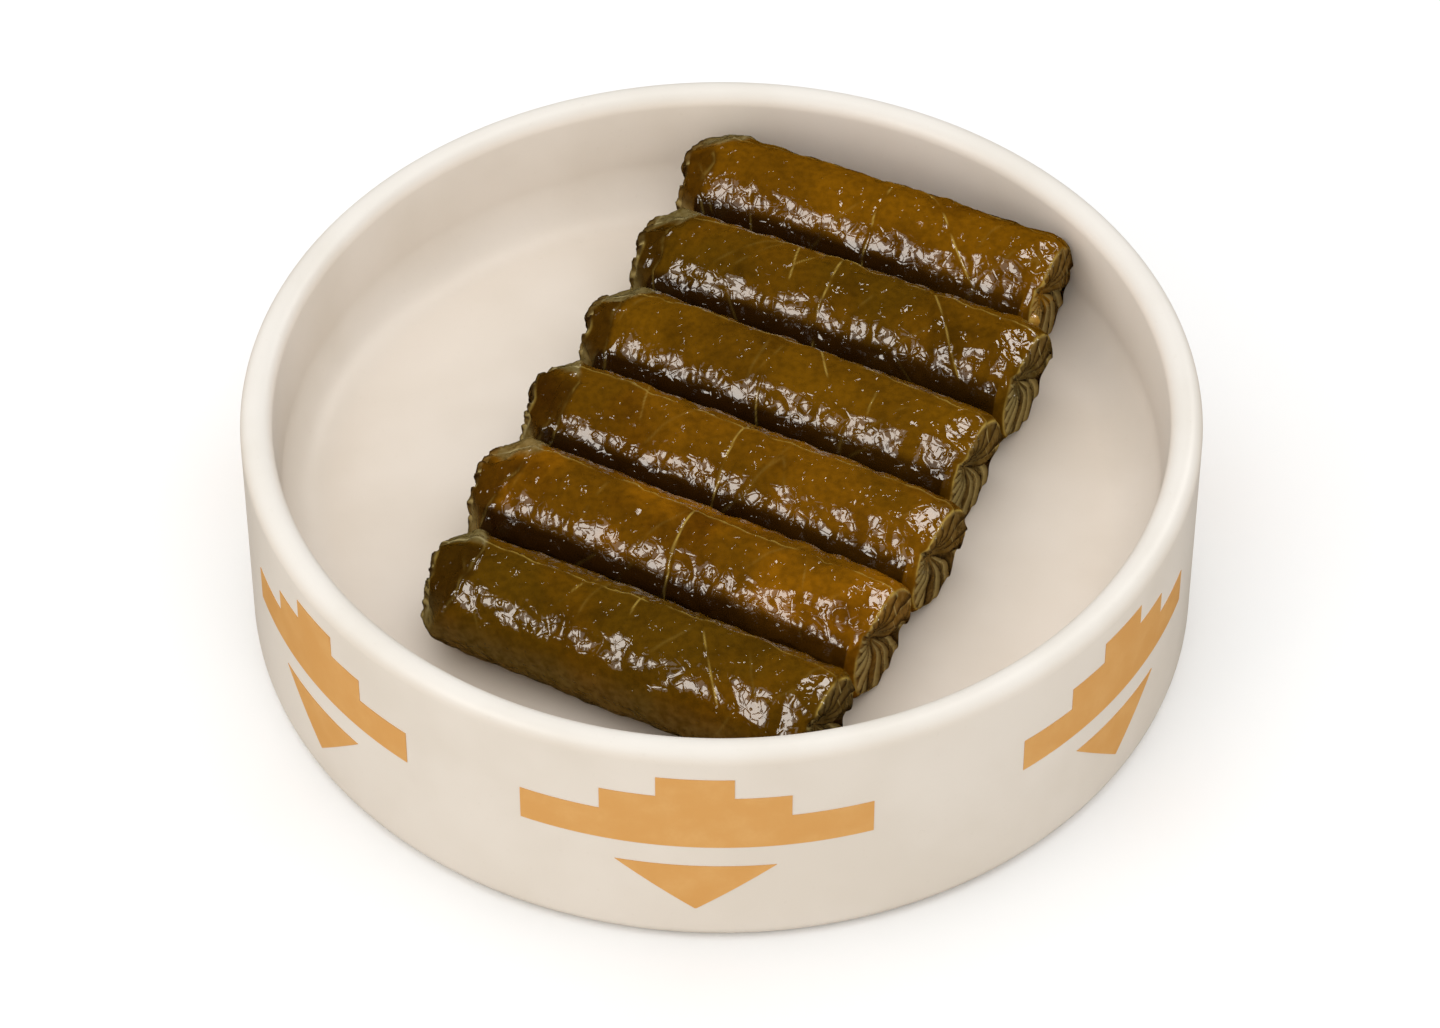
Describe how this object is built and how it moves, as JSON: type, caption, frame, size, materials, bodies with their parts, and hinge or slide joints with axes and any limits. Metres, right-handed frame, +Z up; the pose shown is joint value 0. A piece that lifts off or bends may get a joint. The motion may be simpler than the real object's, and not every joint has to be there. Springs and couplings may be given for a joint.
{
  "type": "bowl of stuffed vine leaf dolma",
  "caption": "Stuffed vine leaf rolls lying side by side in a low round ceramic bowl with an upright wall and a raised flat floor.",
  "frame": {"origin": "centre of the bowl's foot, on the surface it stands on", "axes": "+Z up along the bowl's axis; -Y towards the viewer; the row of rolls runs from -Y to +Y and each roll's folded right end points to +X and -Y"},
  "size_m": [0.166, 0.166, 0.0466],
  "materials": {
    "glaze": "satin off-white glaze with ochre ornament",
    "leaf_1": "cooked vine leaf, oily",
    "leaf_2": "cooked vine leaf, oily",
    "leaf_3": "cooked vine leaf, oily",
    "leaf_4": "cooked vine leaf, oily",
    "leaf_5": "cooked vine leaf, oily",
    "leaf_6": "cooked vine leaf, oily"
  },
  "bodies": {
    "root": {"bowl": "glaze", "roll_1": "leaf_1", "roll_2": "leaf_2", "roll_3": "leaf_3", "roll_4": "leaf_4", "roll_5": "leaf_5", "roll_6": "leaf_6"}
  },
  "joints": []
}
